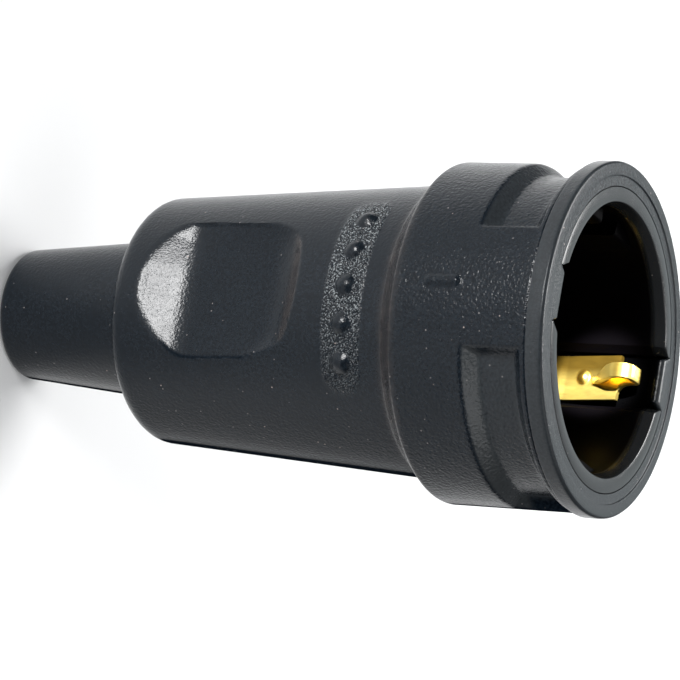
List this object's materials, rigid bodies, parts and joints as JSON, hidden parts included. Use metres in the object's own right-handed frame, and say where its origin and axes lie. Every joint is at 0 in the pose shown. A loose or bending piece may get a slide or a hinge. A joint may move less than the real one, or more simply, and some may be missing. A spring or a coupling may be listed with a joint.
{
  "type": "rubber cable connector socket",
  "caption": "Rubber cable coupling with a tapered cable sleeve, finger scoops, a padded collar and a round earthed socket recess with brass earth clips.",
  "frame": {"origin": "centre of the flat tail face, where the cable goes in", "axes": "+Z along the axis from the tail to the mouth; earth clips on the Y axis, pin sockets on the X axis; the index tick faces -Y"},
  "size_m": [0.052, 0.052, 0.1],
  "materials": {
    "rubber": "satin moulded rubber, blue-black",
    "insert": "black moulded plastic",
    "brass": "bright rolled brass",
    "steel": "zinc plated steel"
  },
  "bodies": {
    "root": {"rubber_housing": "rubber", "socket_cup": "insert", "contact_carrier": "insert", "cord_clamp_bar": "insert", "earth_bow": "brass", "earth_terminal": "brass", "line_contact": "brass", "neutral_contact": "brass", "wire_guard_plates": "brass", "line_contact_spring": "steel", "neutral_contact_spring": "steel", "terminal_screws": "steel", "carrier_screws": "steel", "cord_clamp_screws": "steel"}
  },
  "joints": []
}
